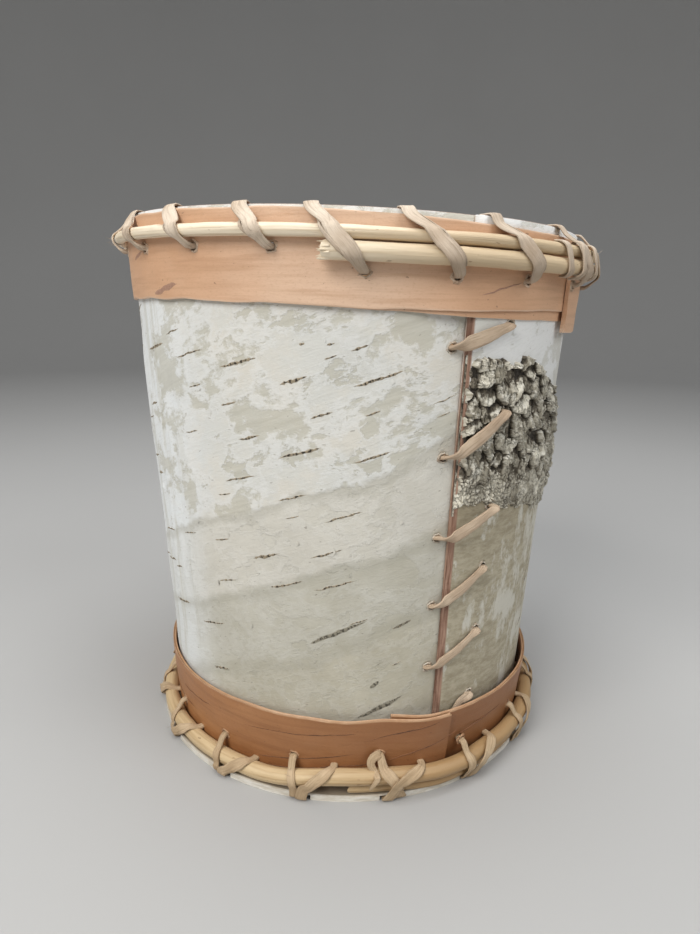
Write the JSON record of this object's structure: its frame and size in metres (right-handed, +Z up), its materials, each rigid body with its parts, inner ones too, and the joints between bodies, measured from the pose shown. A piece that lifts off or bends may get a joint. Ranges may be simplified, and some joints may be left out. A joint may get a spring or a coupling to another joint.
{
  "type": "birch bark basket",
  "caption": "Tapered birch bark basket: a rolled bark wall laced up its lap, a bark base, and willow hoops lashed over bark bands at rim and foot",
  "frame": {"origin": "centre of the base disc's underside, which rests on the floor", "axes": "+Z up along the basket's axis, -Y towards the pictured front, +X towards the laced seam's side"},
  "size_m": [0.1986, 0.1974, 0.215],
  "materials": {
    "birch_bark": "matte white outer birch bark with dark lenticels",
    "rough_bark": "craggy grey-brown cork",
    "base_bark": "matte pale bark",
    "rim_bark": "smooth tan inner bark",
    "foot_bark": "smooth red-brown inner bark with dark streaks",
    "willow": "satin peeled willow",
    "root_strip": "dry split root"
  },
  "bodies": {
    "root": {"wall": "birch_bark", "rough_bark": "rough_bark", "base_disc": "base_bark", "rim_band": "rim_bark", "foot_band": "foot_bark", "rim_hoop": "willow", "foot_hoop": "willow", "rim_lashing": "root_strip", "foot_lashing_right": "root_strip", "foot_lashing_left": "root_strip", "seam_lacing": "root_strip"}
  },
  "joints": []
}
